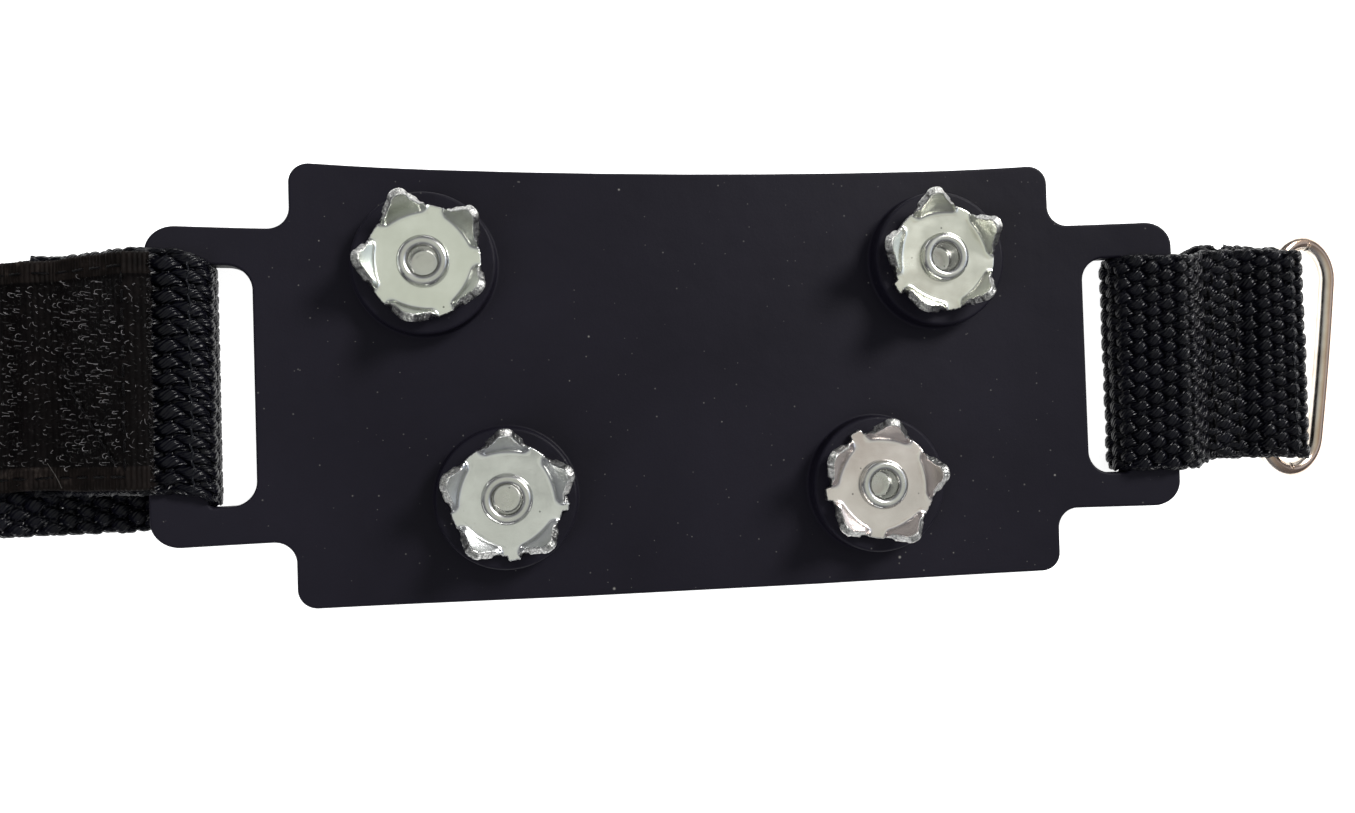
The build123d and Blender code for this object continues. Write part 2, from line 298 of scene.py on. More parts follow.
def warp_yarns(track, first, last, rng, squeeze):
    """Lengthwise yarns that go over one rib and under the next."""
    steps = (last - first) * STEPS_PER_RIB + 1
    s = np.linspace(first * RIB_PITCH, last * RIB_PITCH, steps)
    s = np.clip(s, 0, track.length)
    centre, normal, _ = track.at(s)
    ends = np.arange(WARP_ENDS)
    phase = math.pi * (s[None] / RIB_PITCH + ends[:, None])
    wave = np.cos(phase)
    lift = WARP_LIFT * np.tanh(FLOAT_FLATNESS * wave) / math.tanh(FLOAT_FLATNESS)
    lift = lift * (1 + 0.10 * rng.standard_normal((WARP_ENDS, 1))) * squeeze(s)[None]
    slow = np.cumsum(rng.standard_normal((WARP_ENDS, steps)), axis=1)
    slow = 0.012 * (slow - slow.mean(axis=1, keepdims=True)) / math.sqrt(STEPS_PER_RIB)
    slant = 0.07 * np.sin(2 * phase)
    y = (ends[:, None] - (WARP_ENDS - 1) / 2) * WARP_PITCH + np.clip(slow, -0.12, 0.12) + slant
    path = centre[None] + normal[None] * lift[..., None]
    path[..., 1] += y
    float_size = 1 + 0.09 * rng.standard_normal((WARP_ENDS, steps // STEPS_PER_RIB + 2))
    rib_number = np.round(s / RIB_PITCH).astype(int) - first
    size = float_size[:, np.clip(rib_number, 0, float_size.shape[1] - 1)]
    half_side = (WARP_NARROW + (WARP_WIDE - WARP_NARROW) * np.abs(wave)) * size
    half_up = WARP_HALF_THICKNESS * (1 - 0.22 * wave**2) * (0.6 + 0.4 * squeeze(s)[None])
    side = np.zeros_like(path)
    side[..., 1] = 1
    up = np.broadcast_to(normal[None], path.shape)
    along = np.broadcast_to(s[None], path.shape[:2]) + 3.7 * ends[:, None]
    return tubes(path, side, up, half_side, half_up, along=along)


def weft_yarns(track, first, last, rng, squeeze):
    """Crosswise yarns, one per rib, and the loops that join them round the selvedges."""
    ribs = np.arange(first, last + 1)
    s = np.clip(ribs * RIB_PITCH, 0, track.length)
    centre, normal, tangent = track.at(s)
    half_width = (WARP_ENDS - 1) / 2 * WARP_PITCH + 0.25
    across = np.linspace(-half_width, half_width, WARP_ENDS + 2)
    phase = math.pi * (ribs[:, None] + across[None] / WARP_PITCH + (WARP_ENDS - 1) / 2)
    path = centre[:, None, :] - normal[:, None, :] * (0.10 * np.cos(phase) * squeeze(s)[:, None])[..., None]
    path[..., 1] += across
    side = np.broadcast_to(tangent[:, None, :], path.shape)
    up = np.broadcast_to(normal[:, None, :], path.shape)
    shape = path.shape[:2]
    thin = (0.55 + 0.45 * squeeze(s))[:, None]
    half_thickness = WEFT_HALF_THICKNESS * thin + np.zeros(shape)
    parts = [tubes(path, side, up, np.full(shape, WEFT_HALF_LENGTH), half_thickness)]
    turn = np.linspace(0, math.pi, 9)
    for edge in (-1, 1):
        middle = s[:-1] + RIB_PITCH / 2
        bulge = SELVEDGE_BULGE * (1 + 0.22 * rng.standard_normal(len(middle)))
        here = middle[:, None] - RIB_PITCH / 2 * np.cos(turn)[None]
        here = np.clip(here, 0, track.length)
        point, up_dir, along_dir = track.at(here)
        point[..., 1] += edge * (half_width + bulge[:, None] * np.sin(turn)[None])
        outward = np.zeros_like(point)
        outward[..., 1] = edge
        slope = np.sin(turn)[None, :, None]
        side_dir = outward * slope + along_dir * (1 - slope)
        side_dir /= np.linalg.norm(side_dir, axis=2, keepdims=True)
        shape = point.shape[:2]
        parts.append(tubes(point, side_dir, up_dir, np.full(shape, 0.40), np.full(shape, 0.34)))
    return join_parts(parts)


def webbing(name, track, first, last, material, seed, squeeze=np.ones_like):
    """Piece of plain-woven webbing between two of its ribs; squeeze tells how far it is pressed flat."""
    rng = np.random.default_rng(seed)
    warp = warp_yarns(track, first, last, rng, squeeze)
    weft = weft_yarns(track, first, last, rng, squeeze)
    verts, quads, uvs = join_parts([warp, weft])
    return make_mesh(name, verts, quads, material, uvs)


def frayed_fibres(name, track, s_end, count, length, radius, material, seed):
    """Loose filaments that stick out backwards at the cut start of a strip."""
    rng = np.random.default_rng(seed)
    centre, normal, tangent = track.at(np.array([s_end]))
    points = 7
    paths = np.zeros((count, points, 3))
    for n in range(count):
        y = rng.uniform(-HALF_STRIP, HALF_STRIP)
        reach = length * rng.uniform(0.3, 1.0)
        t = np.linspace(0, 1, points)[:, None]
        lean = rng.normal(0, 0.5, 3)
        start = centre[0] + normal[0] * rng.uniform(-0.5, 0.5) + np.array([0, y, 0])
        paths[n] = start - tangent[0] * reach * t + lean * reach * 0.6 * t**2
        paths[n] += 0.05 * np.cumsum(rng.standard_normal((points, 3)), axis=0)
    verts, quads, uvs = round_tubes(paths, radius, 4)
    return make_mesh(name, verts, quads, material, uvs)


# ---------------------------------------------------------------- materials

class NodeTree:
    """Short ways to add nodes to the tree of a material or of the world."""

    def __init__(self, owner):
        owner.use_nodes = True
        self.owner = owner
        self.nodes = owner.node_tree.nodes
        self.links = owner.node_tree.links

    def feed(self, node, **values):
        """Set properties and inputs by name: an output is linked, anything else is a value."""
        for key, value in values.items():
            if isinstance(value, bpy.types.NodeSocket):
                self.links.new(value, node.inputs[key.replace("_", " ")])
            elif hasattr(node, key):
                setattr(node, key, value)
            else:
                node.inputs[key.replace("_", " ")].default_value = value
        return node

    def add(self, kind, **values):
        return self.feed(self.nodes.new("ShaderNode" + kind), **values)

    def place(self, space="Object"):
        return self.add("TexCoord").outputs[space]

    def noise(self, place, scale, detail, roughness=0.5):
        texture = self.add("TexNoise", Vector=place, Scale=scale, Detail=detail, Roughness=roughness)
        return texture.outputs["Fac"]

    def stretched(self, place, scale, turn=0.0):
        return self.add("Mapping", Vector=place, Scale=scale, Rotation=(0, 0, turn)).outputs["Vector"]

    def ramp(self, share, *stops):
        """Colour by position; a colour is a grey or a triple."""
        ramp = self.add("ValToRGB", Fac=share)
        elements = ramp.color_ramp.elements
        while len(elements) < len(stops):
            elements.new(0.5)
        for element, (position, colour) in zip(elements, stops):
            triple = colour if isinstance(colour, tuple) else (colour, colour, colour)
            element.position = position
            element.color = (*triple, 1)
        return ramp.outputs["Color"]

    def maths(self, operation, *terms):
        node = self.add("Math", operation=operation)
        for socket, term in zip(node.inputs, terms):
            if isinstance(term, bpy.types.NodeSocket):
                self.links.new(term, socket)
            else:
                socket.default_value = term
        return node.outputs[0]

    def mix(self, share, below, above, blend="MIX"):
        mixed = self.add("Mix", data_type="RGBA", blend_type=blend, Factor=share, A=below, B=above)
        return mixed.outputs["Result"]

    def bump(self, height, strength, distance, **before):
        node = self.add("Bump", Height=height, Strength=strength, Distance=distance, **before)
        return node.outputs["Normal"]

    def surface(self, **values):
        self.feed(self.nodes["Principled BSDF"], **values)
        return self.owner


def new_tree(name):
    return NodeTree(bpy.data.materials.new(name))


# cells per metre, share of empty cells, speck radius in cells, strength
DUST_LAYERS = (
    (230.0, 0.74, 0.045, 0.70), (95.0, 0.74, 0.024, 0.90), (430.0, 0.70, 0.055, 0.60),
    (620.0, 0.80, 0.09, 0.35), (900.0, 0.72, 0.08, 0.45),
)
DUST = (0.33, 0.32, 0.30, 1)


def rubber_material():
    """Matte moulded rubber with fine grain, handling smudges and white dust."""
    tree = new_tree("plate_rubber")
    place = tree.place()
    smudge = tree.noise(place, 38.0, 5.0, 0.6)
    grain = tree.noise(place, 2600.0, 3.0, 0.6)
    ripple = tree.noise(place, 160.0, 2.0)
    tone = tree.ramp(smudge, (0.3, (0.0062, 0.0055, 0.0096)), (0.7, (0.0090, 0.0080, 0.0135)))
    for scale, empty, size, strength in DUST_LAYERS:
        cells = tree.add("TexVoronoi", Vector=place, Scale=scale)
        speck = tree.ramp(cells.outputs["Distance"], (0.0, 1), (size, 0))
        lottery = tree.add("SeparateColor", Color=cells.outputs["Color"])
        chosen = tree.maths("GREATER_THAN", lottery.outputs["Red"], empty)
        amount = tree.maths("MULTIPLY", speck, chosen)
        tone = tree.mix(tree.maths("MULTIPLY", amount, strength), tone, DUST)
    rough = tree.ramp(smudge, (0.25, 0.46), (0.75, 0.60))
    coarse = tree.bump(ripple, 0.25, 0.0004)
    fine = tree.bump(grain, 0.35, 0.00005, Normal=coarse)
    return tree.surface(Base_Color=tone, Roughness=rough, Specular_IOR_Level=0.10, Normal=fine)


def plated_steel(name, tint, rough_low, rough_high, mottle, relief):
    """Bright zinc plate: mottled sheen, hairline scratches and a few dark pits."""
    tree = new_tree(name)
    place = tree.place()
    cloud = tree.noise(place, mottle, 3.0, 0.55)
    scratch = tree.noise(tree.stretched(place, (900, 9000, 900), 0.6), 1.0, 2.0)
    tone = tree.ramp(cloud, (0.30, tuple(0.86 * c for c in tint)), (0.70, tint))
    pits = tree.add("TexVoronoi", Vector=place, Scale=560.0)
    pit = tree.ramp(pits.outputs["Distance"], (0.0, 0.12), (0.05, 0.25), (0.09, 1))
    rough = tree.ramp(cloud, (0.3, rough_low), (0.75, rough_high))
    wavy = tree.bump(cloud, relief, 0.00025)
    hairline = tree.bump(scratch, 0.10, 0.00002, Normal=wavy)
    pitted = tree.mix(0.8, tone, pit, "MULTIPLY")
    return tree.surface(Base_Color=pitted, Roughness=rough, Metallic=1.0, Normal=hairline)


def sheared_edge():
    """Torn, streaked metal where the blank was punched."""
    tree = new_tree("sheared_steel")
    streak = tree.noise(tree.stretched(tree.place(), (5200, 5200, 700)), 1.0, 4.0, 0.7)
    tone = tree.ramp(streak, (0.35, 0.16), (0.5, (0.46, 0.46, 0.45)), (0.68, (0.86, 0.85, 0.82)))
    torn = tree.bump(streak, 0.8, 0.00012)
    return tree.surface(Base_Color=tone, Roughness=0.30, Metallic=1.0, Normal=torn)


def yarn_material(name, dark, light, filaments, twist, rough, spec):
    """Multifilament yarn: fine twisted filaments drawn along the yarn's own length."""
    tree = new_tree(name)
    uv = tree.add("UVMap", uv_map="yarn").outputs["UV"]
    parts = tree.add("SeparateXYZ", Vector=uv)
    turned = tree.maths("MULTIPLY_ADD", parts.outputs["X"], twist, parts.outputs["Y"])
    ridge = tree.maths("SINE", tree.maths("MULTIPLY", turned, 2 * math.pi * filaments))
    place = tree.place()
    fuzz = tree.noise(place, 1500.0, 2.0)
    patch = tree.noise(place, 260.0, 3.0)
    filament = tree.bump(tree.maths("MULTIPLY_ADD", ridge, 0.5, fuzz), 0.9, 0.00009)
    tone = tree.ramp(patch, (0.25, dark), (0.75, light))
    return tree.surface(Base_Color=tone, Roughness=rough, Specular_IOR_Level=spec, Normal=filament)


def tape_material(name, dark, middle, light):
    """Woven nylon tape: brown-black with paler, fibrous patches."""
    tree = new_tree(name)
    place = tree.place()
    patch = tree.noise(place, 420.0, 4.0, 0.65)
    fibre = tree.bump(tree.noise(place, 3800.0, 2.0), 0.5, 0.00004)
    tone = tree.ramp(patch, (0.3, dark), (0.6, middle), (0.8, light))
    return tree.surface(Base_Color=tone, Roughness=0.6, Specular_IOR_Level=0.06, Normal=fibre)


def filament_material(name, low, high, light_share, rough):
    """Nylon filament; a share of the filaments gets the lighter colour, which on the hooks is a painted
    highlight.
    """
    tree = new_tree(name)
    island = tree.add("NewGeometry").outputs["Random Per Island"]
    tone = tree.ramp(island, (0.0, low), (1 - light_share, low), (1.0, high))
    return tree.surface(Base_Color=tone, Roughness=rough, Specular_IOR_Level=0.6)


def nickel_material():
    """Warm nickel wire with small dull patches and a coppery painted reflection along its upper side."""
    tree = new_tree("nickel_wire")
    uv = tree.add("UVMap", uv_map="yarn").outputs["UV"]
    drawing = tree.noise(tree.stretched(uv, (0.35, 60, 1)), 1.0, 3.0)
    dull = tree.noise(tree.place(), 300.0, 4.0)
    tone = tree.ramp(dull, (0.3, (0.60, 0.52, 0.44)), (0.7, (0.84, 0.80, 0.73)))
    around = tree.add("SeparateXYZ", Vector=uv).outputs["Y"]
    # a coppery band round the wire's upper side: a painted reflection laid into the colour
    painted_reflection_band = tree.ramp(around, (0.10, 0), (0.20, 1), (0.32, 1), (0.42, 0))
    tone_and_painted_reflection = tree.mix(painted_reflection_band, tone, (0.52, 0.38, 0.29, 1))
    rough = tree.ramp(dull, (0.3, 0.12), (0.8, 0.30))
    drawn = tree.bump(drawing, 0.15, 0.00003)
    return tree.surface(Base_Color=tone_and_painted_reflection, Roughness=rough, Metallic=1.0, Normal=drawn)


# ---------------------------------------------------------------- plate and studs

SHARP = math.radians(50)       # edges sharper than this are rounded


def moulded_plate(material):
    """The plate's own mesh with every edge rounded as moulded rubber is."""
    source = frame["nodes"]["rubber_plate"]
    mesh = source.data.copy()
    mesh.materials.clear()
    shape = bmesh.new()
    shape.from_mesh(mesh)
    bmesh.ops.remove_doubles(shape, verts=shape.verts, dist=0.00001)
    bmesh.ops.dissolve_limit(shape, angle_limit=math.radians(0.4), verts=shape.verts, edges=shape.edges)
    sharp = [e for e in shape.edges if len(e.link_faces) == 2 and e.calc_face_angle(0) > SHARP]
    bmesh.ops.bevel(shape, geom=sharp, offset=EDGE_ROUNDING * MM, segments=3, profile=0.5,
                    affect="EDGES", clamp_overlap=False)
    bmesh.ops.remove_doubles(shape, verts=shape.verts, dist=0.000005)
    for face in shape.faces:
        face.smooth = True
    shape.to_mesh(mesh)
    shape.free()
    plate = bpy.data.objects.new("moulded_plate", mesh)
    bpy.context.scene.collection.objects.link(plate)
    plate.data.materials.append(material)
    bpy.context.view_layer.objects.active = plate
    weighted = plate.modifiers.new("weighted", "WEIGHTED_NORMAL")
    weighted.keep_sharp = True
    weighted.weight = 100
    apply_modifiers(plate)
    return plate


def apply_modifiers(obj):
    """Replace the mesh by the evaluated one."""
    graph = bpy.context.evaluated_depsgraph_get()
    shown = obj.evaluated_get(graph)
    mesh = bpy.data.meshes.new_from_object(shown, preserve_all_data_layers=True, depsgraph=graph)
    obj.modifiers.clear()
    obj.data = mesh


DISC_RADIUS = 7.3
SHEET = 1.1
TOOTH_COUNT = 5
SECTOR = 2 * math.pi / TOOTH_COUNT
TOOTH_REACH = 11.3             # on the flat blank
TOOTH_ROOT = 6.7
TOOTH_HALF_BASE = 2.8
TOOTH_TIP_RADIUS = 1.15
BEND_START = 5.75              # where a tooth starts to fold up
BEND_RADIUS = 1.25
BEND_ANGLE = 68.0              # degrees
CROWN_HOLE = 2.5
NUB_HALF_WIDTH = 0.62          # stubs that the punch leaves between teeth
NUB_REACH = 0.75
# push outwards of the sheared wall, by level from its top (1) to its bottom (-1)
WALL_LEVELS = (
    (0.94, 0.05), (0.80, 0.10), (0.45, 0.12), (0.1, 0.06), (-0.3, 0.12), (-0.7, 0.10), (-0.94, 0.02),
)


def tooth_half_width(reach):
    """Half width of a flat tooth: full flanks from a wide root to a blunt round tip."""
    taper_end = TOOTH_REACH - TOOTH_TIP_RADIUS
    share = np.clip((reach - TOOTH_ROOT) / (taper_end - TOOTH_ROOT), 0, 1)
    side = TOOTH_HALF_BASE + (TOOTH_TIP_RADIUS - TOOTH_HALF_BASE) * share**1.5
    past_tip = np.clip((reach - taper_end) / TOOTH_TIP_RADIUS, 0, 1)
    return np.where(reach > taper_end, TOOTH_TIP_RADIUS * np.sqrt(1 - past_tip**2), side)


def blank_outline(count, nubs):
    """Edge of the flat crown blank, as angles and radii, before its teeth are bent."""
    angle = np.arange(count) * 2 * math.pi / count
    local = (angle + SECTOR / 2) % SECTOR - SECTOR / 2
    reach = np.linspace(TOOTH_ROOT - 0.3, TOOTH_REACH, 600)
    half = tooth_half_width(reach)
    edge_angle = np.arctan2(half, reach)
    edge_radius = np.hypot(half, reach)
    order = np.argsort(edge_angle)
    tooth = np.interp(np.abs(local), edge_angle[order], edge_radius[order])
    inside = np.abs(local) < edge_angle.max()
    radius = np.where(inside, np.maximum(tooth, DISC_RADIUS), DISC_RADIUS)
    for nub in nubs:
        away = np.abs((angle - nub + math.pi) % (2 * math.pi) - math.pi) * DISC_RADIUS
        rise = 1 - ease((away - NUB_HALF_WIDTH) / 0.25)
        radius = np.maximum(radius, DISC_RADIUS + NUB_REACH * rise)
    return angle, radius


def bend_blank(x, y, turn, lean):
    """Fold the blank's teeth up along straight lines; returns the bent middle surface."""
    angle = np.arctan2(y, x)
    axis = np.round(angle / SECTOR) * SECTOR
    u = x * np.cos(axis) + y * np.sin(axis)
    v = -x * np.sin(axis) + y * np.cos(axis)
    full = math.radians(BEND_ANGLE)
    crease = BEND_START - 0.05 * v**2
    past = np.maximum(0, u - crease)
    bend = np.minimum(past / BEND_RADIUS, full)
    straight = np.maximum(0, past - BEND_RADIUS * full)
    out = np.minimum(u, crease) + BEND_RADIUS * np.sin(bend) + straight * math.cos(full)
    up = BEND_RADIUS * (1 - np.cos(bend)) + straight * math.sin(full)
    on_tooth = ease((TOOTH_HALF_BASE + 0.75 - np.abs(v)) / 1.3)
    out = u + (out - u) * on_tooth
    up = up * on_tooth
    bent_x = out * np.cos(axis) - v * np.sin(axis)
    bent_y = out * np.sin(axis) + v * np.cos(axis)
    cos_t, sin_t = math.cos(turn), math.sin(turn)
    turned_x = bent_x * cos_t - bent_y * sin_t + lean[0] * up
    turned_y = bent_x * sin_t + bent_y * cos_t + lean[1] * up
    return np.stack([turned_x, turned_y, up], -1)


def crown(name, stud, look, steel, edge, seed):
    """Stamped five-tooth crown: a sheet bent from its blank, with a sheared rough edge."""
    rng = np.random.default_rng(seed)
    around, rows = 640, 40
    turn = math.radians(look["turn"])
    nubs = [math.radians(nub) - turn for nub in look["nubs"]]
    angle, radius = blank_outline(around, nubs)
    tooth_number = np.round(angle / SECTOR).astype(int) % TOOTH_COUNT
    wear = 1 - 0.025 * np.abs(rng.standard_normal(TOOTH_COUNT))
    stretch = ease((radius - DISC_RADIUS) / 2)
    radius = radius * (1 + stretch * (wear[tooth_number] - 1))
    t = np.linspace(0, 1, rows)[:, None] ** 0.8
    spread = CROWN_HOLE + (radius[None] - CROWN_HOLE) * t
    x, y = spread * np.cos(angle), spread * np.sin(angle)
    bent = partial(bend_blank, turn=turn, lean=look["lean"])
    middle = bent(x, y)
    nudge = 0.02
    slope_x = bent(x + nudge, y) - bent(x - nudge, y)
    slope_y = bent(x, y + nudge) - bent(x, y - nudge)
    normal = np.cross(slope_x, slope_y)
    normal /= np.linalg.norm(normal, axis=2, keepdims=True)
    rim = (np.roll(middle[-1], -1, axis=0) - np.roll(middle[-1], 1, axis=0)) / 2
    outward = np.cross(rim, normal[-1])
    outward /= np.linalg.norm(outward, axis=1, keepdims=True)
    half = SHEET / 2
    top = middle + normal * half
    bottom = middle - normal * half
    repeated = np.tile(rng.standard_normal(around), 3)
    grain = np.convolve(repeated, [0.25, 0.5, 0.25], "same")[around:2 * around]
    wall = []
    for level, push in WALL_LEVELS:
        jag = push + 0.030 * grain + 0.028 * rng.standard_normal(around)
        wall.append(middle[-1] + normal[-1] * half * level + outward * jag[:, None])
    hole_wall = [middle[0] - normal[0] * half * 0.85, middle[0] + normal[0] * half * 0.85]
    rings = [*top, *wall, *bottom[::-1], *hole_wall]
    count = len(rings)
    centre = stud_centre(stud)
    verts = np.concatenate(rings) + np.array([centre[0], centre[1], disc_low(stud) + half])
    obj = make_mesh(name, verts, sheet_quads(count, around, close_rows=True), steel)
    obj.data.materials.append(edge)
    slots = np.zeros(count * around, np.int32)
    row = np.repeat(np.arange(count), around)
    slots[(row >= rows) & (row < rows + len(wall) - 1)] = 1
    obj.data.polygons.foreach_set("material_index", slots)
    return obj


def disc_low(stud):
    return box_mm(stud + "_crown")[0][2]


def stud_centre(stud):
    low, high = box_mm(stud + "_rivet")
    return (low + high) / 2


def lathe(name, profile, centre, material, around=96):
    """Solid of revolution from (radius, height) points; both ends lie on the axis or meet."""
    profile = np.array(profile, float)
    angle = np.arange(around) * 2 * math.pi / around
    ring = np.stack([
        profile[:, None, 0] * np.cos(angle), profile[:, None, 0] * np.sin(angle),
        np.repeat(profile[:, 1:2], around, axis=1),
    ], -1)
    quads = sheet_quads(len(profile), around)[:, ::-1]
    return make_mesh(name, ring.reshape(-1, 3) + np.array([centre[0], centre[1], 0]), quads, material)


def arc_points(centre, radius, start, stop, count):
    angle = np.radians(np.linspace(start, stop, count))
    return [(centre[0] + radius * math.cos(a), centre[1] + radius * math.sin(a)) for a in angle]


BORE_DEPTH = 2.5               # below the top of the disc
RIVET_BORE = 1.85
RIVET_SHANK = 2.45


def rivet(name, stud, material):
    """Semi-tubular rivet: domed head below, clenched rolled collar above, blind bore."""
    low, _ = box_mm(stud + "_rivet")
    disc_top = disc_low(stud) + SHEET
    floor_z = disc_top - BORE_DEPTH
    bore, shank = RIVET_BORE, RIVET_SHANK
    axis = 0.02
    profile = [(axis, low[2] + 0.02), (2.6, low[2])]
    profile += arc_points((3.9, low[2] + 0.45), 0.45, -90, 60, 8)
    profile += [(shank + 0.15, low[2] + 0.88), (shank, low[2] + 1.0), (shank, disc_top - 0.15)]
    profile += [(shank + 0.1, disc_top + 0.02), (3.0, disc_top + 0.04)]
    roll = arc_points((0, 0), 1.0, -45, 180, 22)
    profile += [(2.62 + 0.76 * across, disc_top + 0.48 + 0.78 * up) for across, up in roll]
    profile += [(bore, disc_top + 0.2), (bore - 0.02, floor_z + 0.2), (bore - 0.07, floor_z + 0.05)]
    profile += [(bore - 0.2, floor_z), (1.0, floor_z - 0.01), (0.5, floor_z - 0.02)]
    profile += [(axis, floor_z - 0.03)]
    return lathe(name, profile, stud_centre(stud), material)


def backing_washer(name, stud, material):
    low, high = box_mm(stud + "_backing_washer")
    outer = (high[0] - low[0]) / 2
    inner = 2.56
    soft = 0.18
    profile = [
        (inner, low[2] + soft), (inner + soft, low[2]), (outer - soft, low[2]),
        (outer - 0.05, low[2] + 0.05), (outer, low[2] + soft), (outer, high[2] - soft),
        (outer - soft, high[2]), (inner + soft, high[2]), (inner, high[2] - soft), (inner, low[2] + soft),
    ]
    return lathe(name, profile, stud_centre(stud), material)


# ---------------------------------------------------------------- strap, tab and ring

def over_bar_height(x):
    """Centre height of webbing lying on top of the end bar."""
    return curl(x) + PLATE_THICKNESS + 0.1 + HALF_WEBBING


def strap_track():
    """From the sewn tail over the bar, down through the slot and out under the bar to the free end."""
    fold_x = SLOT_OUTER_X - 0.55
    points = [
        (-84.4, 2.40), (-80.4, 2.45), (-71.3, over_bar_height(EAR_HALF_LENGTH) + 0.15),
        (-66.0, over_bar_height(66.0) + 0.25), (-62.4, over_bar_height(62.4) + 0.1),
        (-fold_x, over_bar_height(62.6) - 1.3), (-fold_x, LEG_Z + 1.4), (-fold_x - 1.6, LEG_Z),
        (-70.0, LEG_Z), (STRAP_END_X, LEG_Z),
    ]
    path = smooth(rounded_path(points, [3.0, 2.5, 6.0, 1.6, 1.2, 1.4, 1.4, 2.0]), 12)
    bottom = np.argmax((path[:, 0] > -fold_x - 2.0) & (path[:, 1] < LEG_Z + 0.4))
    over_bar = (path[:-1, 0] > -69.5) & (path[:-1, 1] > over_bar_height(62.6) - 0.8)
    crowding = 1 - 0.30 * over_bar
    reach = np.concatenate([[0], np.cumsum(np.linalg.norm(np.diff(path, axis=0), axis=1) * crowding)])
    turn_s = reach[bottom]

    def sideways(s, x, z):
        above = ease((z - over_bar_height(62.6) + 3.2) / 2.5)
        before = 1 - ease((s - turn_s + 9.0) / 5.0)
        on_top = 0.05 + 1.85 * np.maximum(above * before, before * (x < -66))
        out = ease((s - turn_s) / 10.0)
        return on_top * (1 - out) + out * (STRAP_Y - 0.35 + 0.25 * np.sin(s / 21.0))

    return Track(path, sideways, crowding=crowding)


def raised_weft(name, track, x, lift, radius, material):
    """One crosswise yarn pulled up between two rib columns on the upper side."""
    s = np.linspace(0, track.length, 4000)
    centre, normal, _ = track.at(s)
    pick = np.argmin(np.abs(centre[:, 0] - x) - 0.5 * centre[:, 2])
    across = np.linspace(-1, 1, 170) * (HALF_STRIP - 0.3)
    line = centre[pick] + normal[pick] * (lift + 0.10 * np.sin(across * 2 * math.pi / WARP_PITCH))[:, None]
    line[:, 1] += across
    line[:, 0] += 0.10 * np.sin(across * 0.9) + 0.12 * np.sin(across * math.pi / WARP_PITCH)
    verts, quads, uvs = round_tubes(line[None], radius, 6)
    return make_mesh(name, verts, quads, material, uvs)


def tab_track():
    """Closed loop: seam, under the bar, up the slot, over the bar, seam, round the ring."""
    fold_x = SLOT_OUTER_X - 0.85
    axis_z = joints["ring_swing"]["pos_m"][2] / MM
    seam_low, seam_high = axis_z - 0.72, axis_z + 0.72
    end_x = box_mm("ring_tab_webbing")[1][0] - HALF_WEBBING + 0.6
    under_bar = [
        (79.5, seam_low), (76.0, seam_low), (71.0, 1.35), (66.0, LEG_Z + 0.2), (fold_x + 1.5, LEG_Z),
        (fold_x, LEG_Z + 1.4),
    ]
    over_bar = [
        (fold_x, over_bar_height(62.6) - 1.4), (62.5, over_bar_height(62.5) + 0.1),
        (66.0, over_bar_height(66.0) + 0.2), (71.0, over_bar_height(EAR_HALF_LENGTH) - 0.1),
        (76.0, seam_high + 0.1), (82.2, seam_high),
    ]
    round_ring = [
        (85.4, axis_z + 2.2), (end_x - 0.6, axis_z + 2.0), (end_x + 0.3, axis_z),
        (end_x - 0.6, axis_z - 2.0), (85.4, axis_z - 2.2), (82.2, seam_low), (79.4, seam_low),
    ]
    radii = [2, 3, 3, 1.4, 1.4, 1.2, 1.5, 6, 2.5, 2.5, 2, 3, 1.8, 1.8, 1.8, 3, 2]
    path = smooth(rounded_path(under_bar + over_bar + round_ring, radii), 10)

    def sideways(s, x, z):
        under = ease((axis_z - z) / 1.5 + 0.5) * ease((x - 72) / 5)
        return 0.15 + 0.95 * under + 1.15 * ease((x - 72) / 5) - 0.25 * ease((x - 84) / 6)

    return Track(path, sideways)


def ripple(phase):
    """Wave between 0 and 1."""
    return 0.5 + 0.5 * np.cos(phase)


def tape_relief(s, y, rng):
    """Height of a tape's upper side over its middle, and the share of it left by its rounded edges."""
    grid_s, grid_y = np.meshgrid(s, y, indexing="ij")
    from_edge = TAPE_WIDTH / 2 - np.abs(grid_y)
    in_selvedge = 1 - ease((from_edge - SELVEDGE + 0.25) / 0.4)
    ribs = ripple(2 * math.pi * grid_s / SELVEDGE_RIB + 0.6 * np.sin(grid_s * 1.3))
    row = np.round(grid_s / KNOB_PITCH)
    knobs = ripple(2 * math.pi * grid_s / KNOB_PITCH) * ripple(2 * math.pi * grid_y / 0.9 + math.pi * row)
    rounding = np.sqrt(np.clip(from_edge / 0.3, 0, 1))
    height = TAPE_TOP * (0.35 + 0.65 * rounding)
    height += in_selvedge * 0.26 * ribs + (1 - in_selvedge) * (0.14 * knobs - 0.10)
    return height + 0.02 * rng.standard_normal(height.shape), rounding


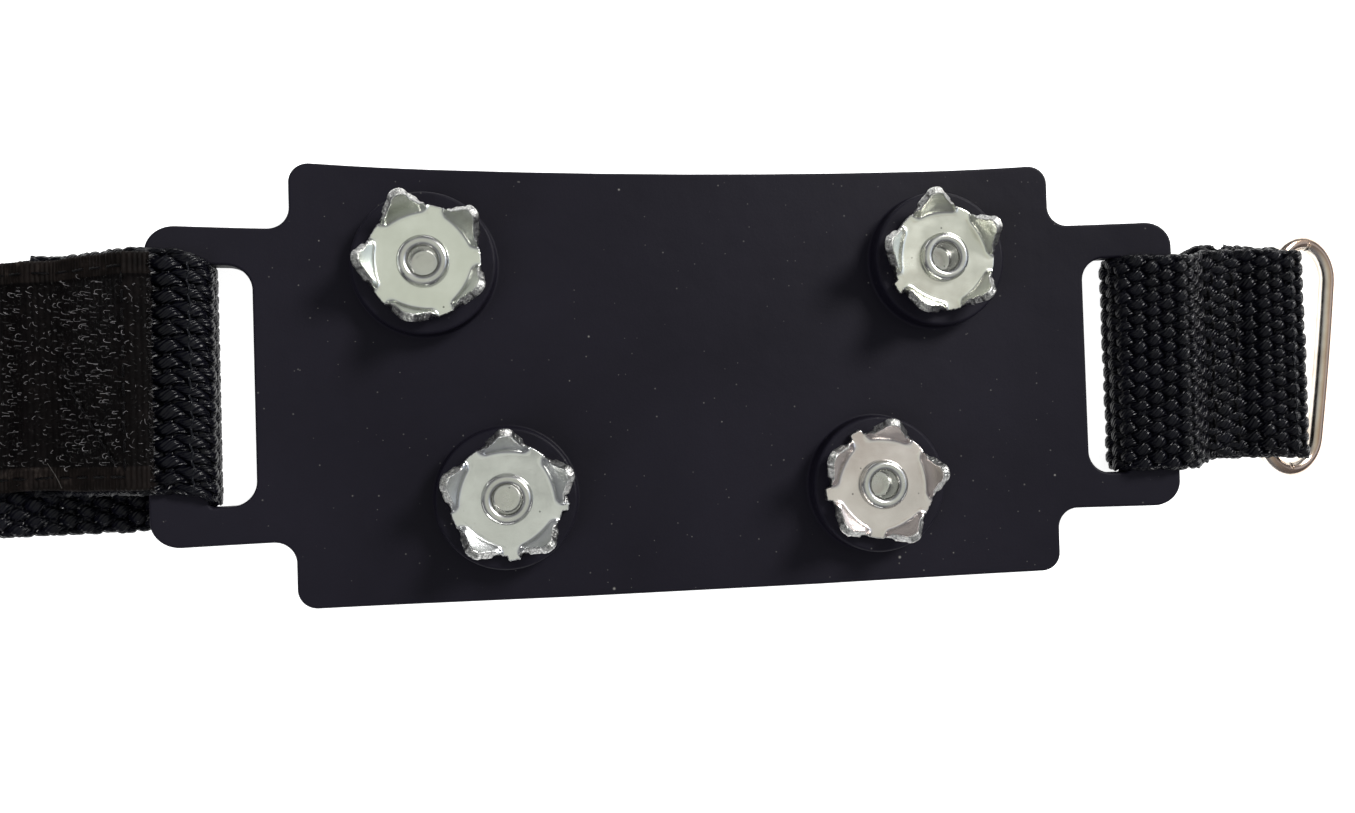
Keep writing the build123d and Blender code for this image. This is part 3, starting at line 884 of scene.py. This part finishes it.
def tape_ground(name, track, cloth, edge_cloth, seed, frayed_start=False):
    """Woven tape: ribbed selvedges, a knobbly field between them and a cut end."""
    rng = np.random.default_rng(seed)
    count = int(track.length / 0.15)
    s = np.linspace(0, track.length, count)
    half = TAPE_WIDTH / 2
    edge_y = np.linspace(0, SELVEDGE, 12)
    field_y = np.arange(SELVEDGE + 0.3, TAPE_WIDTH - SELVEDGE, 0.33)
    y = np.concatenate([edge_y, field_y, TAPE_WIDTH - edge_y[::-1]]) - half
    centre, normal, _ = track.at(s)
    height, rounding = tape_relief(s, y, rng)
    wobble = 0.10 * np.sin(s / 4.1) + 0.06 * np.sin(s / 1.7 + 1)
    shift = y[None] + wobble[:, None] * np.sign(y)[None] * ease((np.abs(y) - 8) / 5)[None]
    top = centre[:, None, :] + normal[:, None, :] * height[..., None]
    top[..., 1] += shift
    if frayed_start:
        top[0, :, 0] += 0.16 * rng.standard_normal(len(y)) + 0.12 * np.sin(y * 0.8)
    wide = len(y)
    sparse = np.linspace(wide - 1, 0, 7).astype(int)
    depth = TAPE_TOP * (0.4 + 0.6 * rounding[:, sparse])
    under = centre[:, None, :] - normal[:, None, :] * depth[..., None]
    under[..., 1] += shift[:, sparse]
    rings = np.concatenate([top, under], axis=1)
    around = rings.shape[1]
    quads = sheet_quads(count, around)
    verts = rings.reshape(-1, 3)
    for row in (0, count - 1):
        foot = top[row] - normal[row] * TAPE_THICKNESS
        k = np.arange(wide - 1)
        wall = np.stack([row * around + k, row * around + k + 1, len(verts) + k + 1, len(verts) + k], -1)
        quads = np.concatenate([quads, wall if row == 0 else wall[:, ::-1]])
        verts = np.concatenate([verts, foot])
    tape = make_mesh(name, verts, quads, cloth)
    tape.data.materials.append(edge_cloth)
    slots = np.zeros(len(quads), np.int32)
    column = np.tile(np.arange(around), count - 1)
    woven_edge = (column < wide) & (np.abs(y[np.minimum(column, wide - 1)]) > half - SELVEDGE + 0.1)
    slots[:len(column)][woven_edge] = 1
    tape.data.polygons.foreach_set("material_index", slots)
    return tape


def field_places(track, pitch_s, pitch_y, start, rng, jitter):
    """Scattered grid of points in a tape's field: distance along and place across."""
    s = np.arange(start, track.length - 0.8, pitch_s)
    y = np.arange(-TAPE_WIDTH / 2 + SELVEDGE + 0.2, TAPE_WIDTH / 2 - SELVEDGE, pitch_y)
    grid_s, grid_y = np.meshgrid(s, y, indexing="ij")
    grid_y = grid_y + 0.5 * pitch_y * (np.arange(len(s)) % 2)[:, None]
    grid_s = grid_s + jitter * rng.standard_normal(grid_s.shape)
    grid_y = grid_y + jitter * rng.standard_normal(grid_y.shape)
    return grid_s.ravel(), grid_y.ravel()


def hooks(name, track, material, seed):
    """Cut monofilament hooks standing in rows; some are bent flat, some have lost their tip."""
    rng = np.random.default_rng(seed)
    s, y = field_places(track, 0.74, 0.68, 0.5, rng, 0.18)
    keep = rng.random(len(s)) > 0.08
    s, y = s[keep], y[keep]
    centre, normal, tangent = track.at(s)
    count = len(s)
    lean = rng.normal(0, 0.28, count)
    facing = np.where(rng.random(count) > 0.5, 1.0, -1.0) * rng.uniform(0.7, 1.0, count)
    sideways = rng.normal(0, 0.9, count)
    height = rng.uniform(0.30, 0.72, count)
    sweep = rng.uniform(90, 215, count)
    bow = rng.uniform(0.14, 0.32, count)
    points = 7
    paths = np.zeros((count, points, 3))
    forward = tangent * (facing * np.cos(sideways))[:, None]
    forward[:, 1] += np.sin(sideways)
    base = centre + normal * (TAPE_TOP - 0.1)
    base[:, 1] += y
    for k in range(points):
        if k < 3:
            rise, out = height * k / 2, lean * 0.25 * k / 2
        else:
            a = np.radians(sweep) * (k - 2) / (points - 3)
            rise = height + bow * np.sin(a)
            out = lean * 0.25 + bow * (1 - np.cos(a))
        paths[:, k] = base + normal * rise[:, None] + forward * out[:, None]
    verts, quads, uvs = round_tubes(paths, 0.027, 4)
    return make_mesh(name, verts, quads, material, uvs)


def pile_loops(name, track, material, seed):
    """Napped loops: soft arcs of fine filament lying every way."""
    rng = np.random.default_rng(seed)
    s, y = field_places(track, 0.86, 0.80, 1.0, rng, 0.22)
    centre, normal, tangent = track.at(s)
    count = len(s)
    points = 7
    turn = np.linspace(-0.25 * math.pi, 1.25 * math.pi, points)
    heading = rng.uniform(0, 2 * math.pi, count)
    flat = tangent * np.cos(heading)[:, None]
    flat[:, 1] += np.sin(heading)
    up = normal + rng.normal(0, 0.45, (count, 3))
    up /= np.linalg.norm(up, axis=1, keepdims=True)
    radius = rng.uniform(0.34, 0.62, count)
    base = centre + normal * (TAPE_TOP + 0.15)
    base[:, 1] += y
    paths = (
        base[:, None, :]
        + flat[:, None, :] * (radius[:, None] * np.cos(turn))[..., None]
        + up[:, None, :] * (radius[:, None] * (0.35 + 0.75 * np.sin(turn)))[..., None]
    )
    verts, quads, uvs = round_tubes(paths, 0.055, 4)
    return make_mesh(name, verts, quads, material, uvs)


def stitches(name, track, places, material, seed, gauge=0.17):
    """Two-ply lockstitches. places holds (s, y, heading degrees, length, lift) for each stitch."""
    rng = np.random.default_rng(seed)
    points = 13
    t = np.linspace(0, 1, points)
    paths = []
    for s, y, heading, length, lift in places:
        centre, normal, tangent = track.at(np.array([s]))
        angle = math.radians(heading + rng.normal(0, 2.5))
        forward = tangent[0] * math.cos(angle) + np.array([0, 1, 0]) * math.sin(angle)
        side = np.cross(normal[0], forward)
        start = centre[0] + np.array([0, y, 0]) - forward * length / 2
        arch = lift - 0.35 + 0.42 * np.sin(math.pi * t) ** 0.5
        line = start + forward * (length * t)[:, None] + normal[0] * arch[:, None]
        for ply in (0, math.pi):
            twist = (ply + 2 * math.pi * length / 1.5 * t)[:, None]
            paths.append(line + 0.6 * gauge * (side * np.cos(twist) + normal[0] * np.sin(twist)))
    verts, quads, uvs = round_tubes(np.array(paths), gauge, 6)
    return make_mesh(name, verts, quads, material, uvs)


def ring_frame():
    """Ring's own frame: its leg is the swing axis, its depth droops to the ground."""
    joint = joints["ring_swing"]
    origin = np.array(joint["pos_m"]) / MM
    yaw = Matrix.Rotation(math.radians(-RING_YAW), 3, "Z")
    droop = Matrix.Rotation(math.radians(RING_DROOP), 3, "Y")
    return origin, np.array(yaw @ droop)


def wire_ring(material):
    """Bent wire rectangle with its butt weld hidden in the tab."""
    inner_d, inner_w = RING_DEPTH / 2 - RING_CORNER, RING_HALF_WIDTH - RING_CORNER
    outline = []
    for quarter, (right, far) in enumerate(((1, 1), (-1, 1), (-1, -1), (1, -1))):
        centre = (right * inner_d, far * inner_w)
        outline += arc_points(centre, RING_CORNER, 90 * quarter, 90 * quarter + 90, 14)
    outline = np.array(outline)
    dense = []
    for a, b in zip(outline, np.roll(outline, -1, axis=0)):
        pieces = max(1, int(np.linalg.norm(b - a) / 1.2))
        dense += [a + (b - a) * n / pieces for n in range(pieces)]
    dense = np.array(dense)
    bow = 0.18 * np.cos(dense[:, 1] / inner_w * math.pi / 2)
    dense[:, 0] += np.where(np.abs(dense[:, 0]) > inner_d, np.sign(dense[:, 0]) * bow, 0)
    path = np.stack([dense[:, 0] + RING_DEPTH / 2, dense[:, 1], 0 * dense[:, 0]], -1)
    tangent = np.roll(path, -1, axis=0) - np.roll(path, 1, axis=0)
    tangent /= np.linalg.norm(tangent, axis=1, keepdims=True)
    up = np.zeros_like(path)
    up[:, 2] = 1
    side = np.cross(up, tangent)
    weld = np.exp(-((path[:, 1] - 3.0) ** 2 + path[:, 0] ** 2) / 0.8)
    size = WIRE_RADIUS * (1 + 0.10 * weld[None])
    verts, quads, uvs = tubes(path[None], side[None], up[None], size, size, sides=28, closed=True)
    origin, turn = ring_frame()
    return make_mesh("wire_ring", verts @ turn.T + origin, quads, material, uvs)


def lint_hair(track, material):
    """One pale thread caught in the hooks near the lower selvedge."""
    centre, normal, _ = track.at(np.array([15.5]))
    t = np.linspace(0, 1, 14)
    path = centre[0] + np.array([0, -11.0, 0]) + normal[0] * 1.6
    line = path + np.stack([1.3 * t, -3.2 * t, 0.5 * np.sin(3 * t)], -1)
    line[:, 0] += 0.5 * np.sin(2.4 * t)
    verts, quads, uvs = round_tubes(line[None], 0.026, 4)
    return make_mesh("lint_hair", verts, quads, material, uvs)


# ---------------------------------------------------------------- build the object

# the two bodies of each bend, and the X where it starts and stops
BENDS = {
    "strap_at_plate": ("plate", "strap_base", -69.0, -74.2),
    "strap_over_instep": ("strap_base", "strap_middle", -132.5, -138.5),
    "strap_closing_fold": ("strap_middle", "strap_tip", -193.8, -200.8),
    "tab_at_plate": ("plate", "ring_tab", 69.2, 74.5),
}


def attach(piece, body, slot, *stands_for):
    """Fix a piece to a body, or, for a bend, bake its place into its mesh; the piece takes the place of some
    CAD nodes, which are hidden.
    """
    if body in BENDS:
        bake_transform(piece)
    else:
        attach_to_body(piece, body)
    if stands_for:
        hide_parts(*stands_for)


# dark and light colour, filaments across, twist, roughness, gloss
webbing_yarn = yarn_material(
    "webbing_yarn", (0.0009, 0.0009, 0.0020), (0.0024, 0.0024, 0.0052), 7, 0.22, 0.28, 0.19)
weft_yarn = yarn_material(
    "weft_yarn", (0.005, 0.0055, 0.0078), (0.010, 0.0108, 0.0150), 4, 0.3, 0.42, 0.25)
thread_yarn = yarn_material(
    "thread_yarn", (0.0016, 0.0014, 0.0018), (0.0036, 0.0032, 0.0040), 5, 0.5, 0.40, 0.12)
tape_cloth = tape_material(
    "tape_field", (0.0012, 0.0009, 0.0010), (0.0026, 0.0019, 0.0020), (0.008, 0.006, 0.0056))
tape_selvedge = tape_material(
    "tape_selvedge", (0.0024, 0.0018, 0.0017), (0.0085, 0.0062, 0.0056), (0.042, 0.033, 0.029))
# the lighter half of the hooks is a painted highlight standing in for the glints on their curls
hook_nylon = filament_material("hook_nylon", (0.003, 0.0026, 0.0026), (0.26, 0.25, 0.26), 0.50, 0.20)
loop_nylon = filament_material("loop_nylon", (0.004, 0.004, 0.005), (0.014, 0.014, 0.017), 0.5, 0.42)
pale_fibre = filament_material("pale_fibre", (0.07, 0.066, 0.062), (0.10, 0.095, 0.088), 0.5, 0.5)
fray_nylon = filament_material("fray_nylon", (0.008, 0.007, 0.008), (0.16, 0.152, 0.156), 0.40, 0.32)
edge_steel = sheared_edge()
rivet_steel = plated_steel("rivet_steel", (0.64, 0.64, 0.62), 0.18, 0.30, 420.0, 0.06)
washer_steel = plated_steel("washer_steel", (0.70, 0.71, 0.71), 0.28, 0.42, 500.0, 0.20)

# each crown's turn in degrees, plating tint, stubs at these degrees, and lean per millimetre of height
CROWNS = {
    "wide_left": {"turn": 40.0, "tint": (0.80, 0.82, 0.77), "nubs": [], "lean": (0.04, 0.12)},
    "wide_right": {"turn": 28.0, "tint": (0.82, 0.83, 0.76), "nubs": [212.0], "lean": (-0.20, 0.06)},
    "narrow_left": {"turn": 20.0, "tint": (0.78, 0.79, 0.79), "nubs": [353.0, 276.0], "lean": (0.04, 0.08)},
    "narrow_right": {"turn": 9.0, "tint": (0.82, 0.77, 0.75), "nubs": [117.0, 188.0], "lean": (-0.16, 0.04)},
}

attach(moulded_plate(rubber_material()), "plate", "plate_rubber", "rubber_plate")
for number, (stud, look) in enumerate(CROWNS.items()):
    steel = plated_steel(stud + "_steel", look["tint"], 0.16, 0.28, 240.0, 0.10)
    stamped = crown(stud + "_toothed_crown", stud, look, steel, edge_steel, 40 + number)
    attach(stamped, "plate", "zinc_plated_steel", stud + "_crown")
    clenched = rivet(stud + "_clenched_rivet", stud, rivet_steel)
    attach(clenched, "plate", "rivet_steel", stud + "_rivet")
    washer = backing_washer(stud + "_rounded_washer", stud, washer_steel)
    attach(washer, "plate", "rivet_steel", stud + "_backing_washer")

strap = strap_track()
tab = tab_track()


def rib_at(x):
    """Number of the rib nearest to x on the strap's lower leg."""
    lower = strap.path[:, 1] < LEG_Z + 0.3
    index = np.where(lower & (strap.path[:, 0] < x))[0][0]
    return int(round(strap.reach[index] / RIB_PITCH))


def strap_squeeze(s):
    """The fold in the slot presses the weave against the bar."""
    centre, _, _ = strap.at(s)
    return 1 - 0.35 * ease((centre[..., 0] + 64.5) / 1.5)


def tab_squeeze(s):
    """The seam presses the weave flat."""
    centre, _, _ = tab.at(s)
    x = centre[..., 0]
    return 1 - 0.45 * ease((x - 75.5) / 1.5) * (1 - ease((x - 82.0) / 1.5))


last_rib = int(strap.length / RIB_PITCH)
near_end, instep_end, fold_end = rib_at(-101.0), rib_at(-166.0), rib_at(-233.0)
near = webbing("strap_near_webbing", strap, 0, near_end, webbing_yarn, 11, strap_squeeze)
attach(near, "strap_at_plate", "black_webbing", "strap_bar_wrap", "strap_base_webbing")
instep = webbing("strap_instep_webbing", strap, near_end, instep_end, webbing_yarn, 12)
attach(instep, "strap_over_instep", "black_webbing", "strap_middle_webbing")
folding = webbing("strap_folding_webbing", strap, instep_end, fold_end, webbing_yarn, 13)
attach(folding, "strap_closing_fold", "black_webbing")
tip = webbing("strap_free_end_webbing", strap, fold_end, last_rib, webbing_yarn, 14)
attach(tip, "strap_tip", "black_webbing", "strap_tip_webbing")
attach(raised_weft("strap_raised_weft", strap, -64.3, 0.62, 0.13, weft_yarn), "plate", "black_webbing")
tail_fray = frayed_fibres("tail_frayed_fibres", strap, 0.0, 260, 1.5, 0.05, webbing_yarn, 15)
attach(tail_fray, "strap_base", "black_webbing")

tab_end = int(tab.length / RIB_PITCH)
ring_tab = webbing("ring_tab_loop", tab, 0, tab_end, webbing_yarn, 21, tab_squeeze)
attach(ring_tab, "tab_at_plate", "black_webbing", "tab_bar_wrap", "ring_tab_webbing")
attach(raised_weft("tab_raised_weft", tab, 89.3, 0.60, 0.12, weft_yarn), "ring_tab", "black_webbing")
attach(wire_ring(nickel_material()), "ring", "nickel_plated_wire", "strap_ring")


def hook_track():
    """Hook tape: starts on the bar, runs down over the tail and on along the strap."""
    lift = HALF_WEBBING + 0.05 + TAPE_TOP
    flat_z = LEG_Z + lift
    points = [
        (-68.3, over_bar_height(68.3) + lift + 0.15),
        (-71.4, over_bar_height(EAR_HALF_LENGTH) + lift + 0.2),
        (-80.6, 2.45 + lift + 0.1), (-84.8, 2.40 + lift + 0.05),
        (-87.4, flat_z), (HOOK_TAPE_END_X, flat_z),
    ]
    path = smooth(rounded_path(points, [2.5, 3.0, 1.5, 1.5]), 10)

    def sideways(s, x, z):
        return 1.9 - 3.6 * ease((-x - 84) / 42)

    return Track(path, sideways, face=-1)


def loop_track():
    flat_z = LEG_Z + HALF_WEBBING + 0.05 + TAPE_TOP
    path = rounded_path([(LOOP_TAPE_START_X, flat_z), (LOOP_TAPE_END_X, flat_z)], [])
    return Track(path, lambda s, x, z: STRAP_Y - 0.2 + 0 * x, face=-1)


# a stitch is its distance along, place across, heading in degrees, length and lift
CROSS_ROW = np.arange(-11.5, 11.6, 2.3)


def selvedge_rows(track, start):
    """A row of stitches along each selvedge."""
    along = np.arange(start, track.length - 1.5, 3.1)
    reach = TAPE_WIDTH / 2 - 1.7
    return [(s, side * reach, 0, 2.5, TAPE_TOP + 0.22) for side in (-1, 1) for s in along]


def hook_sewing(track):
    """Selvedge rows, a cross row at the cut end and a short slanting row beside it."""
    cross = [(3.0, y, 90, 1.7, TAPE_TOP + 0.10) for y in CROSS_ROW]
    slanting = [(5.0 + 1.6 * n, -10.5 + 2.0 * n, 52, 1.9, TAPE_TOP + 0.20) for n in range(5)]
    return selvedge_rows(track, 4.0) + cross + slanting


def loop_sewing(track):
    """Selvedge rows and a cross row at each end."""
    ends = (2.0, track.length - 2.0)
    return selvedge_rows(track, 2.5) + [(s, y, 90, 1.9, TAPE_TOP + 0.25) for s in ends for y in CROSS_ROW]


TAB_SEWING_X = (77.2, 81.0)


def tab_sewing():
    """Cross rows on both faces of the tab's seam."""
    s = np.linspace(0, tab.length, 2000)
    centre, _, _ = tab.at(s)
    rows = []
    for x in TAB_SEWING_X:
        upper = s[np.argmin(np.abs(centre[:, 0] - x) + 50 * (centre[:, 2] < 3.5))]
        lower = s[np.argmin(np.abs(centre[:, 0] - x) + 50 * (centre[:, 2] > 3.5))]
        for y in np.arange(-12.4, 12.5, 2.35):
            drift = 0.35 * math.sin(1.7 * y + x)
            rows.append((upper + drift, y, 90 + 9 * math.sin(2.3 * y), 1.8, 0.46))
            rows.append((lower + drift, y, 90, 1.8, 0.46))
    return rows


hook_line = hook_track()
hook_ground = tape_ground("hook_tape_ground", hook_line, tape_cloth, tape_selvedge, 31, frayed_start=True)
attach(hook_ground, "strap_at_plate", "hook_tape_nylon", "hook_tape")
attach(hooks("hook_tape_hooks", hook_line, hook_nylon, 32), "strap_at_plate", "hook_tape_nylon")
hook_thread = stitches("hook_tape_thread", hook_line, hook_sewing(hook_line), thread_yarn, 33, 0.11)
attach(hook_thread, "strap_at_plate", "black_thread", "hook_tape_stitching")
hook_fray = frayed_fibres("hook_tape_frayed_fibres", hook_line, 0.3, 460, 0.55, 0.025, fray_nylon, 38)
attach(hook_fray, "strap_at_plate", "hook_tape_nylon")
attach(lint_hair(hook_line, pale_fibre), "strap_base", "black_thread")

loop_line = loop_track()
loop_ground = tape_ground("loop_tape_ground", loop_line, tape_cloth, tape_selvedge, 34)
attach(loop_ground, "strap_tip", "loop_tape_nylon", "loop_tape")
attach(pile_loops("loop_tape_pile", loop_line, loop_nylon, 35), "strap_tip", "loop_tape_nylon")
loop_thread = stitches("loop_tape_thread", loop_line, loop_sewing(loop_line), thread_yarn, 36, 0.11)
attach(loop_thread, "strap_tip", "black_thread", "loop_tape_stitching")
tab_thread = stitches("ring_tab_thread", tab, tab_sewing(), thread_yarn, 37, 0.13)
attach(tab_thread, "ring_tab", "black_thread", "ring_tab_stitching")

# ---------------------------------------------------------------- floor, light and camera

FLOOR_HALF = 30.0              # metres, so that its edge is never seen
CAMERA_PLACE = (-0.0264, -0.0074, 0.1599)
CAMERA_TURN = (1.4386, -8.8014, -1.7918)       # degrees about X, Y and Z from looking straight down
FOCAL_SHARE = 0.8540           # focal length over image width
SENSOR_WIDTH = 36.0


def pale_floor():
    corners = [(x * FLOOR_HALF, y * FLOOR_HALF, 0) for x, y in ((-1, -1), (1, -1), (1, 1), (-1, 1))]
    mesh = bpy.data.meshes.new("floor")
    mesh.from_pydata(corners, [], [(0, 1, 2, 3)])
    floor = bpy.data.objects.new("floor", mesh)
    bpy.context.scene.collection.objects.link(floor)
    white = new_tree("floor_white").surface(
        Base_Color=(0.88, 0.88, 0.88, 1), Roughness=0.9,
        Emission_Color=(1, 1, 1, 1), Emission_Strength=0.90)
    mesh.materials.append(white)


def area_light(name, place, size, power, colour):
    """Round lamp turned towards the object."""
    data = bpy.data.lights.new(name, "AREA")
    data.shape = "DISK"
    data.size = size
    data.energy = power
    data.color = colour
    light = bpy.data.objects.new(name, data)
    light.location = place
    light.rotation_euler = (-Vector(place)).to_track_quat("-Z", "Y").to_euler()
    bpy.context.scene.collection.objects.link(light)
    return light


def sky_patch(tree, direction, facing, width, below, colour, strength):
    """Lay a soft-edged patch of colour over the sky around one direction; width is in degrees."""
    match = tree.add("VectorMath", operation="DOT_PRODUCT")
    match.inputs[1].default_value = Vector(facing).normalized()
    tree.links.new(direction, match.inputs[0])
    share = tree.add(
        "MapRange", interpolation_type="SMOOTHSTEP", Value=match.outputs["Value"], To_Max=strength,
        From_Min=math.cos(math.radians(width * 1.3)), From_Max=math.cos(math.radians(width * 0.7)))
    return tree.mix(share.outputs["Result"], below, (*colour, 1))


def daylight():
    """Pale ceiling, darker walls and the shapes that the steel mirrors; plain white where seen."""
    world = bpy.data.worlds.new("soft_room")
    bpy.context.scene.world = world
    tree = NodeTree(world)
    direction = tree.place("Generated")
    height = tree.add("SeparateXYZ", Vector=direction).outputs["Z"]
    sky = tree.ramp(
        height, (0.0, (0.10, 0.10, 0.11)), (0.55, (0.22, 0.22, 0.24)), (0.9, (0.62, 0.64, 0.60)),
        (1.0, (0.70, 0.72, 0.63)))
    sky = sky_patch(tree, direction, (0.05, -0.01, 1.0), 3.0, sky, (0.10, 0.10, 0.13), 0.85)
    sky = sky_patch(tree, direction, (0.33, 0.05, 1.0), 4.5, sky, (0.40, 0.27, 0.24), 0.7)
    sky = sky_patch(tree, direction, (0.72, 0.10, 0.58), 13.0, sky, (0.80, 0.89, 1.05), 0.9)
    straight = tree.add("LightPath").outputs["Is Camera Ray"]
    backdrop = tree.mix(straight, sky, (1.0, 1.0, 1.0, 1))
    tree.feed(tree.nodes["Background"], Color=backdrop, Strength=1.0)


def lamps():
    """A window at the upper right, and a weak room light that the steel doesn't mirror."""
    area_light("window", (0.46, 0.40, 0.47), 0.26, 6.4, (1.0, 0.99, 0.97))
    room = area_light("room", (-0.50, -0.25, 0.45), 0.40, 2.2, (0.93, 0.96, 1.0))
    room.visible_glossy = False


def photo_camera():
    data = bpy.data.cameras.new("photo_camera")
    data.sensor_width = SENSOR_WIDTH
    data.lens = SENSOR_WIDTH * FOCAL_SHARE
    data.clip_start = 0.01
    camera = bpy.data.objects.new("photo_camera", data)
    turn = Euler([math.radians(angle) for angle in CAMERA_TURN])
    camera.matrix_world = Matrix.LocRotScale(Vector(CAMERA_PLACE), turn, None)
    bpy.context.scene.collection.objects.link(camera)
    bpy.context.scene.camera = camera


pale_floor()
daylight()
lamps()
photo_camera()
bpy.context.scene.view_settings.view_transform = "Standard"
